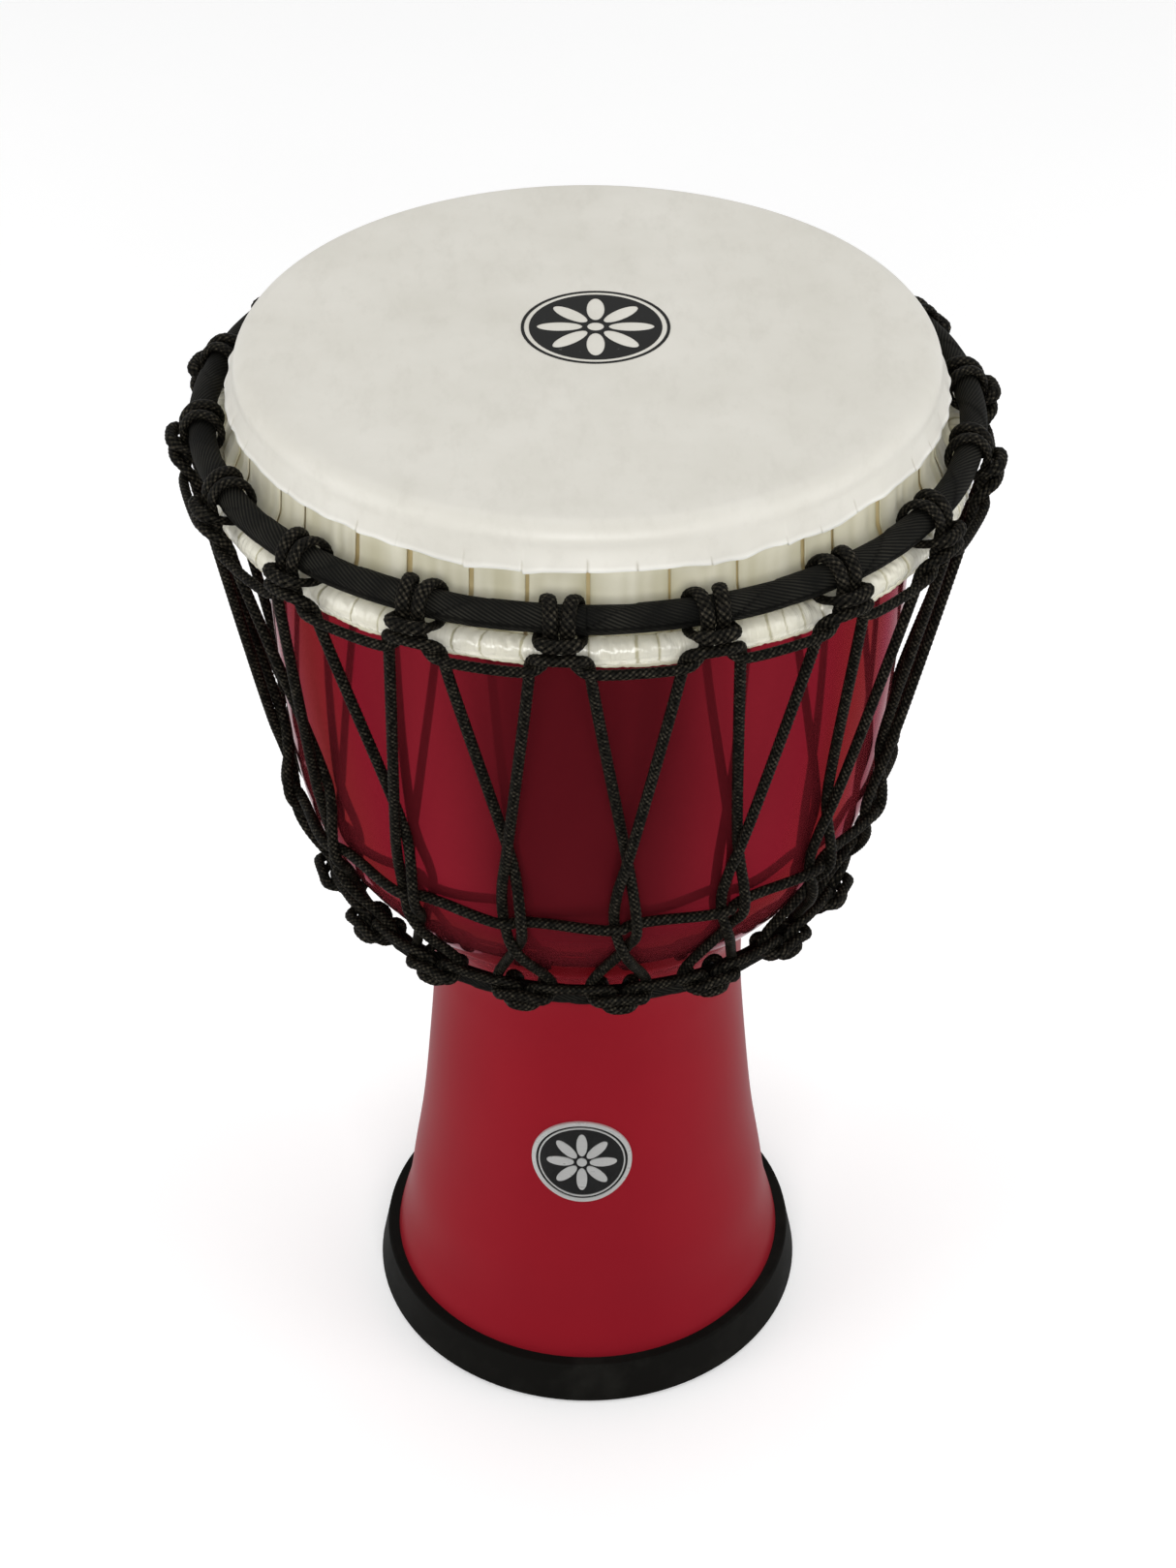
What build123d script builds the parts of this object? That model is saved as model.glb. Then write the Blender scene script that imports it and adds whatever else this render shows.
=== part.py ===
from build123d import *
import math
import os

# Rope-tuned djembe with a seven inch head, standing on its foot.
# +Z is up, the origin is on the floor under the drum's axis, and -Y is the badge side.

# ---- rope pattern ----
KNOTS = 18
PITCH = 360 / KNOTS
TOP_KNOT = -3.5  # degrees from -Y towards +X
BOTTOM_KNOT = TOP_KNOT + PITCH / 2
HITCH_ROPE = 1.3  # rope radii
TENSION_ROPE = 1.45
WEAVE_ROPE = 1.45
CORNER_SHARE = 0.45  # part of the shorter run that an arc takes up
BACK_KNOT = KNOTS // 2

# ---- shell ----
WALL = 3.5
SPLIT_HEIGHT = 124.0
SPIGOT_HEIGHT = 10.0
SPIGOT_WALL = 1.7
FOOT_FLOOR = 2.0
FOOT_RADIUS = 60.0
FOOT_BAND_TOP = 13.0
FOOT_BAND_RADIUS = 58.2
STEM_CURVE = [(55.2, 25), (52.7, 40), (49.8, 58), (47.4, 78), (45.5, 98), (43.95, SPLIT_HEIGHT)]
BOWL_CURVE = [(43.95, SPLIT_HEIGHT), (44.5, 138), (49.2, 150), (61.2, 164.6), (70.2, 177),
              (75.3, 187), (79.7, 210), (82.4, 250), (84.0, 285), (86.4, 315)]
EDGE_RADIUS = 82.4  # crest of the bearing edge
EDGE_HEIGHT = 315.0
EDGE_ROUND = 4.0
EDGE_INSIDE = 80.3
EDGE_BEVEL_DROP = 2.0  # from the crest to the top of the inside face
EDGE_FACE_DROP = 11.0  # from the crest to its foot

# ---- head and rings: centre radius, height, section radius ----
FILM = 0.45
FILM_GAP = 0.1  # between the collar and the head over it
HEAD_FLARE = (89.7, 309.3)
COLLAR_WAIST = (88.0, 301.0)
CROWN_RING = (95.8, 301.3)
CROWN_STEEL = 3.0
CROWN_TAPE = 3.5
FLESH_HOOP = (93.7, 291.3)
HOOP_STEEL = 2.6
HOOP_WRAP = 3.4
LOWER_RING = (68.0, 164.6)
LOWER_STEEL = 2.1
LOWER_TAPE = 2.6
FIT = 0.02

# ---- rubber foot ----
FOOT_OUTSIDE = 64.2
FOOT_EDGE = 0.8
FOOT_LIP_TOP = 9.0
FOOT_LIP = 1.9
FOOT_TOP_RADIUS = 61.6

# ---- badge and head print ----
BADGE_CENTRE = (-1.6, 82.8)  # x and z
BADGE_RADIUS = 14.2
BADGE_RIM = 1.2
BADGE_BASE = 0.35
BADGE_INLAY = 0.5
BADGE_TOP = 0.7
BADGE_LINE_GAP = 0.7  # inside the rim
BADGE_LINE_WIDTH = 0.4
BADGE_ROSETTE_SHARE = 0.78  # of the space inside the rim or line
BADGE_BACK_RADIUS = 20.0  # well inside the stem's wall
PRINT_CENTRE = (2.0, 5.0)
PRINT_RADIUS = 18.5
PRINT_LINE = 0.8
PRINT_GAP = 1.2
PRINT_THICKNESS = 0.12
PRINT_ROSETTE_SHARE = 0.9

# ---- rosette, as shares of its radius ----
PETALS = 8
PETAL_PLACE = 0.6
PETAL_LENGTH = 0.38
PETAL_WIDTH = 0.15
ROSETTE_HUB = 0.14

# ---- knots, each corner as (along the ring, outwards, upwards) from the ring's centre line ----
# From the bight that lies across the front, round the ring, to the run to the next knot.
UPPER_HITCH = [(0, 7.7, -2.4), (2.8, 7.6, -2.3), (4.6, 6.3, -2.6), (5.5, 3.8, -4.0), (5.3, -0.9, -5.5),
               (4.3, -5.45, -1.8), (3.3, -4.1, 4.0), (2.4, 1.4, 5.5), (2.1, 5.2, 1.5), (1.9, 4.5, -3.2),
               (2.2, 4.2, -6.8), (4.4, 4.9, -10.3), (7.2, 6.1, -11.4)]
LOWER_HITCH = [(0, 7.0, 0.3), (3.1, 6.6, 0.5), (4.5, 3.5, 2.7), (4.3, -0.9, 4.8), (3.6, -4.4, 1.1),
               (2.7, -3.3, -3.3), (1.9, 1.2, -4.5), (1.6, 4.3, -1.2), (1.6, 3.9, 1.8), (1.9, 3.9, 3.8),
               (4.6, 4.6, 5.8), (7.4, 5.0, 5.6)]

# ---- tension rope, each corner as (along, radius, height) ----
BOTTOM_ARCH = [(2.6, 75.5, 168.9), (6.1, 75.2, 167.5), (7.5, 71.3, 167.3), (7.5, 69.4, 170.4)]
TOP_ARCH = [(7.0, 98.3, 286.0), (7.0, 98.7, 291.4), (6.7, 101.0, 294.5), (4.0, 103.3, 295.0)]
FRONT_STRAND = [(0, 81.4, 188.0), (-2.95, 79.9, 198.5), (-2.2, 82.7, 211.0), (0, 85.7, 222.0)]
REAR_STRAND = [(0, 82.35, 222.5), (1.5, 82.0, 213.0), (2.7, 83.4, 203.0), (2.95, 83.0, 196.0),
               (1.6, 78.4, 190.5), (0, 77.15, 186.5)]
WEAVE = [(-1.3, 84.05, 198.5), (1.3, 79.8, 198.5)]

# ---- whippings that join each rope's two ends ----
WHIPPING_WALL = 0.4
WHIPPING_LENGTH = 9.0
LOWER_WHIPPING_LENGTH = 6.0
WEAVE_WHIPPING_WALL = 0.25
WEAVE_WHIPPING_PLACE = 0.58


def place(azimuth, along, radius, height):
    """Point at a distance along the circle from an azimuth that is counted from -Y towards +X."""
    angle = math.radians(azimuth) + along / radius
    return Vector(radius * math.sin(angle), -radius * math.cos(angle), height)


def turned(shape, azimuth):
    return Rot(0, 0, azimuth) * shape


def profile(*edges):
    """Solid of revolution about Z from edges that close an outline in the XZ plane."""
    outline = Wire([*edges])
    return revolve(make_face(Plane.XZ * outline), Axis.Z)


def polyline(*points):
    return Polyline(*points).edges()


def inward(points, distance):
    """Points moved square to their curve, towards the axis."""
    moved = []
    for index, (radius, height) in enumerate(points):
        before = points[max(index - 1, 0)]
        after = points[min(index + 1, len(points) - 1)]
        rise = after[1] - before[1]
        run = after[0] - before[0]
        length = math.hypot(rise, run)
        moved.append((radius - distance * rise / length, height + distance * run / length))
    return moved


def stem_outside():
    band = Line((FOOT_RADIUS, FOOT_FLOOR), (FOOT_BAND_RADIUS, FOOT_BAND_TOP))
    curve = Spline((FOOT_BAND_RADIUS, FOOT_BAND_TOP), *STEM_CURVE, tangents=(band % 1, (0, 1)))
    return band, curve


def bowl_shell():
    outside = Spline(*BOWL_CURVE, tangents=((0, 1), (0, 1)))
    crest = (EDGE_RADIUS, EDGE_HEIGHT + EDGE_ROUND)
    edge = TangentArc(outside @ 1, crest, tangent=(0, 1))
    neck = BOWL_CURVE[0][0] - SPIGOT_WALL
    inside = [p for p in inward(BOWL_CURVE, WALL) if p[1] > SPLIT_HEIGHT + SPIGOT_HEIGHT]
    face_foot = (EDGE_INSIDE, crest[1] - EDGE_FACE_DROP)
    inner = Spline((neck, SPLIT_HEIGHT + SPIGOT_HEIGHT), *inside[1:-1], face_foot, tangents=((0, 1), (0, 1)))
    rim = polyline(crest, (EDGE_INSIDE, crest[1] - EDGE_BEVEL_DROP), inner @ 1)
    throat = polyline(inner @ 0, (neck, SPLIT_HEIGHT), BOWL_CURVE[0])
    return profile(outside, edge, *rim, inner, *throat)


def stem_shell():
    band, curve = stem_outside()
    neck = STEM_CURVE[-1][0]
    spigot = neck - SPIGOT_WALL - FIT
    bore = neck - WALL
    foot_inside = [(FOOT_RADIUS - WALL, FOOT_FLOOR), (FOOT_BAND_RADIUS - WALL, FOOT_BAND_TOP)]
    inner_band = Line(*foot_inside)
    inner = Spline(foot_inside[1], *inward(STEM_CURVE, WALL)[:-1], (bore, SPLIT_HEIGHT),
                   tangents=(inner_band % 1, (0, 1)))
    top = polyline(curve @ 1, (spigot, SPLIT_HEIGHT), (spigot, SPLIT_HEIGHT + SPIGOT_HEIGHT),
                   (bore, SPLIT_HEIGHT + SPIGOT_HEIGHT), inner @ 1)
    foot = Line(inner_band @ 0, band @ 0)
    return profile(band, curve, *top, inner, inner_band, foot)


def foot_ring():
    inner_foot = FOOT_RADIUS - WALL
    lean = (FOOT_RADIUS - FOOT_BAND_RADIUS) / (FOOT_BAND_TOP - FOOT_FLOOR)
    lip_top = inner_foot - lean * (FOOT_LIP_TOP - FOOT_FLOOR)
    outline = Polyline((FOOT_OUTSIDE, 0), (FOOT_TOP_RADIUS, FOOT_BAND_TOP), (FOOT_BAND_RADIUS, FOOT_BAND_TOP),
                       (FOOT_RADIUS, FOOT_FLOOR), (inner_foot, FOOT_FLOOR), (lip_top, FOOT_LIP_TOP),
                       (lip_top - FOOT_LIP, FOOT_LIP_TOP), (inner_foot - FOOT_LIP, 0), close=True)
    section = make_face(outline)
    rounded = [v for v in section.vertices() if v.X > FOOT_TOP_RADIUS - 1]
    section = fillet(rounded, FOOT_EDGE)
    return revolve(Plane.XZ * section, Axis.Z)


def torus(ring, section):
    radius, height = ring
    return Pos(0, 0, height) * Torus(radius, section)


def sleeve_ring(ring, inner, outer):
    return torus(ring, outer) - torus(ring, inner + FIT)


def playing_head():
    centre = (EDGE_RADIUS, EDGE_HEIGHT)
    inner = EDGE_ROUND + FILM + FILM_GAP
    outer = inner + FILM
    top = EDGE_HEIGHT + outer
    flare_out = HEAD_FLARE
    flare_in = (HEAD_FLARE[0] - FILM, HEAD_FLARE[1])
    outside = CenterArc(centre, outer, 0, 90)
    inside = CenterArc(centre, inner, 0, 90)
    rim = polyline(inside @ 0, flare_in, flare_out, outside @ 0)
    disc = polyline(outside @ 1, (0, top), (0, top - FILM), inside @ 1)
    return profile(*disc, inside, *rim, outside)


def head_collar():
    centre = (EDGE_RADIUS, EDGE_HEIGHT)
    inner = EDGE_ROUND + FIT
    outer = inner + FILM
    outside = CenterArc(centre, outer, 0, 90)
    inside = CenterArc(centre, inner, 0, 90)
    reach = (HOOP_WRAP + FIT) / math.sqrt(2)
    end = (FLESH_HOOP[0] - reach, FLESH_HOOP[1] + reach)
    skirt = polyline(inside @ 0, (COLLAR_WAIST[0] - FILM, COLLAR_WAIST[1]), (end[0] - FILM, end[1]), end,
                     COLLAR_WAIST, outside @ 0)
    crest = Line(outside @ 1, inside @ 1)
    return profile(outside, crest, inside, *skirt)


def rope(points, radius):
    """Round rope along straight runs joined by tangent arcs."""
    arcs = []
    for before, corner, after in zip(points, points[1:], points[2:]):
        first = corner - before
        second = after - corner
        half_turn = math.radians(first.get_angle(second)) / 2
        arcs.append(CORNER_SHARE * min(first.length, second.length) / math.tan(half_turn))
    path = FilletPolyline(*points, radius=arcs)
    start = Plane(origin=path @ 0, z_dir=path % 0)
    return sweep(start * Circle(radius), path=path)


def rope_loop(corners, radius, first_knot):
    """A rope that repeats the same corners at every knot, each length ending halfway along a run."""
    points = [place(first_knot + column, along, r, z) for column, along, r, z in corners]
    turn = Rot(0, 0, PITCH)
    back = Rot(0, 0, -PITCH)
    start = (points[0] + (back * Pos(points[-1])).position) / 2
    end = (points[-1] + (turn * Pos(points[0])).position) / 2
    unit = rope([start, *points, end], radius)
    lengths = [turned(unit, PITCH * knot) for knot in range(KNOTS)]
    return lengths[0].fuse(*lengths[1:])


def hitch_corners(half, ring):
    """Both halves of a cow hitch, as (column, along, radius, height)."""
    radius, height = ring
    right = [(0, along, radius + out, height + up) for along, out, up in half]
    left = [(0, -along, r, z) for _, along, r, z in right[:0:-1]]
    return left + right


def tension_corners():
    left = -PITCH / 2
    right = PITCH / 2
    corners = [(left, along, r, z) for along, r, z in BOTTOM_ARCH + FRONT_STRAND]
    corners += [(0, -along, r, z) for along, r, z in TOP_ARCH]
    corners += [(0, along, r, z) for along, r, z in reversed(TOP_ARCH)]
    corners += [(right, along, r, z) for along, r, z in REAR_STRAND]
    corners += [(right, -along, r, z) for along, r, z in reversed(BOTTOM_ARCH)]
    return corners


def whipping(start, end, rope_radius, wall, length=WHIPPING_LENGTH, share=0.5):
    """Tight binding round a straight run, with its middle at a share of the way along."""
    along = (end - start).normalized()
    base = start + (end - start) * share - along * length / 2
    section = Circle(rope_radius + wall) - Circle(rope_radius + FIT)
    return extrude(Plane(origin=base, z_dir=along) * section, length)


def swag_whipping(hitch, ring, first_knot, length):
    along, out, up = hitch[-1]
    azimuth = first_knot + PITCH * BACK_KNOT
    start = place(azimuth, along, ring[0] + out, ring[1] + up)
    end = place(azimuth + PITCH, -along, ring[0] + out, ring[1] + up)
    return whipping(start, end, HITCH_ROPE, WHIPPING_WALL, length)


def tension_whipping():
    azimuth = TOP_KNOT + PITCH * BACK_KNOT
    start = place(azimuth - PITCH / 2, *FRONT_STRAND[-1])
    along, radius, height = TOP_ARCH[0]
    end = place(azimuth, -along, radius, height)
    return whipping(start, end, TENSION_ROPE, WHIPPING_WALL)


def weave_whipping():
    azimuth = BOTTOM_KNOT + PITCH * BACK_KNOT
    start = place(azimuth, *WEAVE[-1])
    end = place(azimuth + PITCH, *WEAVE[0])
    return whipping(start, end, WEAVE_ROPE, WEAVE_WHIPPING_WALL, share=WEAVE_WHIPPING_PLACE)


def rosette(size):
    """Ring of petals round a small disc, inside a circle of the given radius."""
    petal = Pos(size * PETAL_PLACE, 0) * Ellipse(size * PETAL_LENGTH, size * PETAL_WIDTH)
    petals = [Rot(0, 0, 360 / PETALS * n) * petal for n in range(PETALS)]
    return Sketch() + petals + Circle(size * ROSETTE_HUB)


def head_print():
    top = EDGE_HEIGHT + EDGE_ROUND + 2 * FILM + FILM_GAP
    line = Circle(PRINT_RADIUS) - Circle(PRINT_RADIUS - PRINT_LINE)
    field_radius = PRINT_RADIUS - PRINT_LINE - PRINT_GAP
    field = Circle(field_radius) - rosette(field_radius * PRINT_ROSETTE_SHARE)
    return extrude(Pos(*PRINT_CENTRE, top) * (line + field), PRINT_THICKNESS)


def stem_skin(inner, outer):
    """Layer that follows the outside of the stem between two offsets."""
    curve = [(FOOT_BAND_RADIUS, FOOT_BAND_TOP), *STEM_CURVE]
    tangent = stem_outside()[0] % 1
    near = Spline(*[(r + inner, z) for r, z in curve], tangents=(tangent, (0, 1)))
    far = Spline(*[(r + outer, z) for r, z in curve], tangents=(tangent, (0, 1)))
    return profile(near, Line(near @ 1, far @ 1), far, Line(far @ 0, near @ 0))


def badge_layer(sketch, inner, outer):
    x, z = BADGE_CENTRE
    front = Plane(origin=(x, -FOOT_RADIUS, z), x_dir=(1, 0, 0), z_dir=(0, 1, 0))
    block = extrude(front * sketch, FOOT_RADIUS - BADGE_BACK_RADIUS)
    return block & stem_skin(inner, outer)


def badge_line():
    outer = BADGE_RADIUS - BADGE_RIM - BADGE_LINE_GAP
    return Circle(outer) - Circle(outer - BADGE_LINE_WIDTH)


def badge_rosette():
    return rosette((BADGE_RADIUS - BADGE_RIM) * BADGE_ROSETTE_SHARE)


def badge_plate():
    base = badge_layer(Circle(BADGE_RADIUS), 0, BADGE_BASE)
    rim = badge_layer(Circle(BADGE_RADIUS) - Circle(BADGE_RADIUS - BADGE_RIM), BADGE_BASE, BADGE_TOP)
    line = badge_layer(badge_line(), BADGE_BASE, BADGE_TOP)
    return base + rim + line


def badge_emblem():
    return badge_layer(badge_rosette(), BADGE_BASE, BADGE_TOP)


def badge_inlay():
    field = Circle(BADGE_RADIUS - BADGE_RIM) - badge_line() - badge_rosette()
    return badge_layer(field, BADGE_BASE, BADGE_INLAY)


def parts():
    return {
        "bowl_shell": bowl_shell(),
        "stem_shell": stem_shell(),
        "foot_ring": foot_ring(),
        "playing_head": playing_head(),
        "head_collar": head_collar(),
        "flesh_hoop": torus(FLESH_HOOP, HOOP_STEEL),
        "hoop_wrap": sleeve_ring(FLESH_HOOP, HOOP_STEEL, HOOP_WRAP),
        "crown_ring": torus(CROWN_RING, CROWN_STEEL),
        "crown_ring_tape": sleeve_ring(CROWN_RING, CROWN_STEEL, CROWN_TAPE),
        "lower_ring": torus(LOWER_RING, LOWER_STEEL),
        "lower_ring_tape": sleeve_ring(LOWER_RING, LOWER_STEEL, LOWER_TAPE),
        "upper_hitch_rope": rope_loop(hitch_corners(UPPER_HITCH, CROWN_RING), HITCH_ROPE, TOP_KNOT),
        "lower_hitch_rope": rope_loop(hitch_corners(LOWER_HITCH, LOWER_RING), HITCH_ROPE, BOTTOM_KNOT),
        "tension_rope": rope_loop(tension_corners(), TENSION_ROPE, TOP_KNOT),
        "weave_rope": rope_loop([(0, *corner) for corner in WEAVE], WEAVE_ROPE, BOTTOM_KNOT),
        "upper_rope_whipping": swag_whipping(UPPER_HITCH, CROWN_RING, TOP_KNOT, WHIPPING_LENGTH),
        "lower_rope_whipping": swag_whipping(LOWER_HITCH, LOWER_RING, BOTTOM_KNOT, LOWER_WHIPPING_LENGTH),
        "tension_rope_whipping": tension_whipping(),
        "weave_rope_whipping": weave_whipping(),
        "head_print": head_print(),
        "badge_plate": badge_plate(),
        "badge_inlay": badge_inlay(),
        "badge_emblem": badge_emblem(),
    }


os.makedirs("parts", exist_ok=True)
for name, shape in parts().items():
    export_step(shape, f"parts/{name}.step")
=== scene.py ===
import math

import bpy
import numpy as np
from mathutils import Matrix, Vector


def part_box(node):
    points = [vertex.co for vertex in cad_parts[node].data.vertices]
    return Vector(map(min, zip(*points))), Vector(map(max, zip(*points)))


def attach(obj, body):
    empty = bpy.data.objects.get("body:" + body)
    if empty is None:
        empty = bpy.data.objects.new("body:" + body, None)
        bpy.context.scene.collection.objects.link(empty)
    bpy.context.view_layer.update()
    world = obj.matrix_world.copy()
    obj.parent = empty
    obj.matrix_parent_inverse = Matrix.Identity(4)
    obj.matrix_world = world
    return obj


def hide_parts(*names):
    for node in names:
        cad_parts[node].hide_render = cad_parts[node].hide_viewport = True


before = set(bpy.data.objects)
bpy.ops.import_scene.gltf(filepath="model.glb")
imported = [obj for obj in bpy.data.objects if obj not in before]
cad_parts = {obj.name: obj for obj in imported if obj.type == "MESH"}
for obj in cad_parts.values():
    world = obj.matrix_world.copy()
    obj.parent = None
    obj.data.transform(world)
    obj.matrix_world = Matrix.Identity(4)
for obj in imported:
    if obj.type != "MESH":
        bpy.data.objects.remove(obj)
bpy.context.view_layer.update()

# Everything is worked out in millimetres and scaled once, when a mesh is made.
MM = 0.001
FULL_TURN = 2 * math.pi

# ---- sizes shared with the CAD model: centre radius and height of each ring ----
KNOTS = 18
PITCH = FULL_TURN / KNOTS
TOP_KNOT = math.radians(-3.5)
BOTTOM_KNOT = TOP_KNOT + PITCH / 2
CROWN_RING = (95.8, 301.3)
CROWN_TAPE = 3.5
FLESH_HOOP = (93.7, 291.3)
HOOP_WRAP = 3.4
LOWER_RING = (68.0, 164.6)
LOWER_TAPE = 2.6
HITCH_ROPE = 1.3
TENSION_ROPE = 1.45
WEAVE_ROPE = 1.45
WHIPPING_LENGTH = 9.0
LOWER_WHIPPING_LENGTH = 6.0
TWINE = 0.23
TWINE_SPACING = 0.42
FILM = 0.45
EDGE_CENTRE = (82.4, 315.0)  # centre of the bearing edge's rounding
HEAD_ROUND = 5.0
HEAD_CUT = (89.7, 309.3)
COLLAR_ROUND = 4.47
COLLAR_WAIST = (88.0, 301.0)

# ---- outlines of the shell, each point (radius, height) ----
WALL = 3.5
SPLIT_HEIGHT = 124.0
SPIGOT_HEIGHT = 10.0
SPIGOT_PLAY = 0.03
EDGE_CREST = (82.4, 319.0)
EDGE_ROUND = 4.0
EDGE_BEVEL = 2.0
EDGE_INSIDE = (80.3, 308.0)
FOOT_BAND = [(60.0, 2.0), (58.2, 13.0)]
STEM_CURVE = [FOOT_BAND[1], (55.2, 25.0), (52.7, 40.0), (49.8, 58.0), (47.4, 78.0), (45.5, 98.0),
              (43.95, SPLIT_HEIGHT)]
BOWL_CURVE = [STEM_CURVE[-1], (44.5, 138.0), (49.2, 150.0), (61.2, 164.6), (70.2, 177.0), (75.3, 187.0),
              (79.7, 210.0), (82.4, 250.0), (84.0, 285.0), (86.4, 315.0)]

# ---- film and tape: the distances between cuts are a least and a most, along the rim ----
HEAD_CORNERS = (5.0, 15.0)
HEAD_SLITS = (9.0, 26.0)
COLLAR_SLITS = (8.0, 22.0)
COLLAR_GAPS = (0.5, 1.5)  # widths of the openings between the collar's panels
COLLAR_FILM = 0.3
COLLAR_TUCK = 0.15  # the collar lies this far inside its smooth outline
DEEPEST_FOLD = 0.3  # and no fold lies deeper than this
UNDERLAY_DEPTH = 0.55
UNDERLAY_FILM = 0.2
FOLD_HEIGHT = 0.58
CURL_HEIGHT = 0.35
WRAP_LAPS = (3.6, 12.0)
WRAP_DEPTHS = (0.15, 0.45)  # how far one turn of film sinks before the next starts
WRAP_LUMPS = 0.32
TORN_CORNERS = (3.0, 11.0)
TORN_DROPS = (0.25, 1.15)
TORN_FILM = 0.25
CROWN_TAPE_LAP = 33.0
LOWER_TAPE_LAP = 27.0
TAPE_STEP = 0.28

# ---- rope corners: along the ring, radius or outwards, height or upwards ----
# They are the CAD model's, except that UPPER_HITCH and TOP_ARCH pull the upper knots closer together.
UPPER_HITCH = [(0, 7.7, -2.4), (2.8, 7.6, -2.3), (4.3, 6.3, -2.6), (5.1, 3.8, -4.0), (5.1, -0.9, -5.5),
               (4.3, -5.45, -1.8), (3.2, -4.1, 4.0), (2.2, 1.4, 5.5), (1.95, 5.2, 1.5), (1.75, 4.5, -3.2),
               (1.95, 4.2, -6.8), (4.2, 4.9, -10.2), (7.2, 6.1, -11.4)]
LOWER_HITCH = [(0, 7.0, 0.3), (3.1, 6.6, 0.5), (4.5, 3.5, 2.7), (4.3, -0.9, 4.8), (3.6, -4.4, 1.1),
               (2.7, -3.3, -3.3), (1.9, 1.2, -4.5), (1.6, 4.3, -1.2), (1.6, 3.9, 1.8), (1.9, 3.9, 3.8),
               (4.6, 4.6, 5.8), (7.4, 5.0, 5.6)]
BOTTOM_ARCH = [(2.6, 75.5, 168.9), (6.1, 75.2, 167.5), (7.5, 71.3, 167.3), (7.5, 69.4, 170.4)]
TOP_ARCH = [(7.0, 98.3, 286.0), (6.9, 98.7, 290.4), (6.0, 101.0, 293.6), (3.6, 103.3, 295.0)]
FRONT_STRAND = [(0, 81.4, 188.0), (-2.95, 79.9, 198.5), (-2.2, 82.7, 211.0), (0, 85.7, 222.0)]
REAR_STRAND = [(0, 82.35, 222.5), (1.5, 82.0, 213.0), (2.7, 83.4, 203.0), (2.95, 83.0, 196.0),
               (1.6, 78.4, 190.5), (0, 77.15, 186.5)]
WEAVE = [(-1.3, 84.05, 198.5), (1.3, 79.8, 198.5)]

# ---- the two finishes of the shell ----
NECK_HEIGHT = 138.0  # the gloss starts here and is complete a little higher
GLOSS_FADE = 20.0
SATIN_METALLIC = 0.1
SATIN_ROUGHNESS = 0.36
GLOSS_METALLIC = 0.70
GLOSS_ROUGHNESS = 0.07
SHELL_SHEEN = 0.007

# ---- braid ----
CARRIERS = 6  # strands that wind each way
CELL = 1.5  # length of one diamond along the rope
CELL_STEPS = 4
RELIEF = 0.22  # depth of the braid as a share of the rope's radius
FLAT_WIDTH = 1.42  # a hitch is flattened where it is pulled round its ring
FLAT_THICKNESS = 0.80
SLACK_THICKNESS = 1.3  # and at the crown ring fuller in the loop across its front
UPPER_REACH = 10.4  # distance from the ring's centre at which the rope is round again
LOWER_REACH = 7.4
PULL_FADE = 1.8  # and over which it gets there
KNOT_SIDE = (3.4, 5.0)  # the widening ends between these distances to the side of a knot's middle
LOOP_SPAN = (5.8, 7.0)  # the fuller loop starts between these distances from the ring's centre
KNOT_SLIP = 0.55  # how far a knot may sit off its even place along the ring, roughly

# ---- camera: place in metres, lens in millimetres ----
CAMERA_PLACE = (0.0, -0.6315, 0.6672)
CAMERA_PITCH = math.radians(37.58)  # looks down by this much
CAMERA_LENS = 66.5188
CAMERA_SHIFT = 0.000309


# ======================================================================================
# mesh making
# ======================================================================================

def new_object(name, points, faces, uv=None, values=None, smooth=True):
    """Mesh object from points in millimetres. uv and each of values have an entry for every point."""
    mesh = bpy.data.meshes.new(name)
    mesh.vertices.add(len(points))
    mesh.vertices.foreach_set("co", (np.asarray(points, dtype=np.float64) * MM).ravel())
    sizes = np.array([len(face) for face in faces])
    loops = np.concatenate([np.asarray(face) for face in faces])
    mesh.loops.add(len(loops))
    mesh.loops.foreach_set("vertex_index", loops.astype(np.int32))
    mesh.polygons.add(len(sizes))
    starts = np.concatenate([[0], np.cumsum(sizes)[:-1]])
    mesh.polygons.foreach_set("loop_start", starts.astype(np.int32))
    mesh.polygons.foreach_set("loop_total", sizes.astype(np.int32))
    mesh.update(calc_edges=True)
    mesh.validate()
    mesh.polygons.foreach_set("use_smooth", np.full(len(mesh.polygons), smooth))
    if uv is not None:
        layer = mesh.uv_layers.new(name="UVMap")
        vertex = np.empty(len(mesh.loops), dtype=np.int32)
        mesh.loops.foreach_get("vertex_index", vertex)
        layer.data.foreach_set("uv", np.asarray(uv)[vertex].ravel())
    if values is not None:
        for key, numbers in values.items():
            attribute = mesh.attributes.new(name=key, type="FLOAT", domain="POINT")
            attribute.data.foreach_set("value", np.asarray(numbers, dtype=np.float64).ravel())
    obj = bpy.data.objects.new(name, mesh)
    bpy.context.scene.collection.objects.link(obj)
    return obj


def grid_faces(rows, columns, wrap_rows=False, wrap_columns=False):
    """Quads over a rows by columns grid of points."""
    row = np.arange(rows if wrap_rows else rows - 1)
    column = np.arange(columns if wrap_columns else columns - 1)
    r, c = np.meshgrid(row, column, indexing="ij")
    r_next = (r + 1) % rows
    c_next = (c + 1) % columns
    near, far = r * columns, r_next * columns
    return np.stack([near + c, far + c, far + c_next, near + c_next], axis=-1).reshape(-1, 4)


def ring_point(angle, radius, height):
    """Angles are counted from -Y towards +X, as the knots are."""
    return np.stack([radius * np.sin(angle), -radius * np.cos(angle), height + 0 * angle], axis=-1)


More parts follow.
